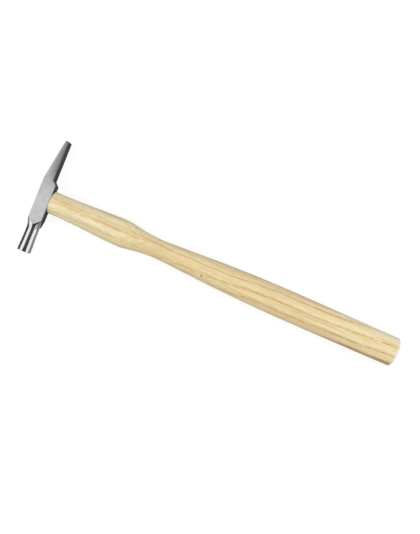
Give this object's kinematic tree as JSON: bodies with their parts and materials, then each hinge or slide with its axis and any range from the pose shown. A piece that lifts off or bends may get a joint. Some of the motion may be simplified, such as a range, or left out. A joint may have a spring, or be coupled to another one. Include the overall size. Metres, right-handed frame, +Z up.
{
  "type": "tack hammer",
  "caption": "Light cross-peen tack hammer with a slim forged steel head wedged on a long oval ash handle, for driving tacks and small pins.",
  "frame": {"origin": "under the middle of the hammer's box, on the surface that it lies on", "axes": "+X along the handle from the head to the butt, +Y along the head towards the peen, +Z up, square to the cheeks"},
  "size_m": [0.28, 0.0848, 0.0173],
  "materials": {
    "head_steel": "ground satin cheeks, polished neck",
    "ash": "clear varnished ash",
    "wedge_wood": "bare hardwood end grain",
    "wedge_steel": "dull grey steel"
  },
  "bodies": {
    "root": {"hammer_head": "head_steel", "handle": "ash", "wooden_wedge": "wedge_wood", "steel_wedge": "wedge_steel"}
  },
  "joints": []
}
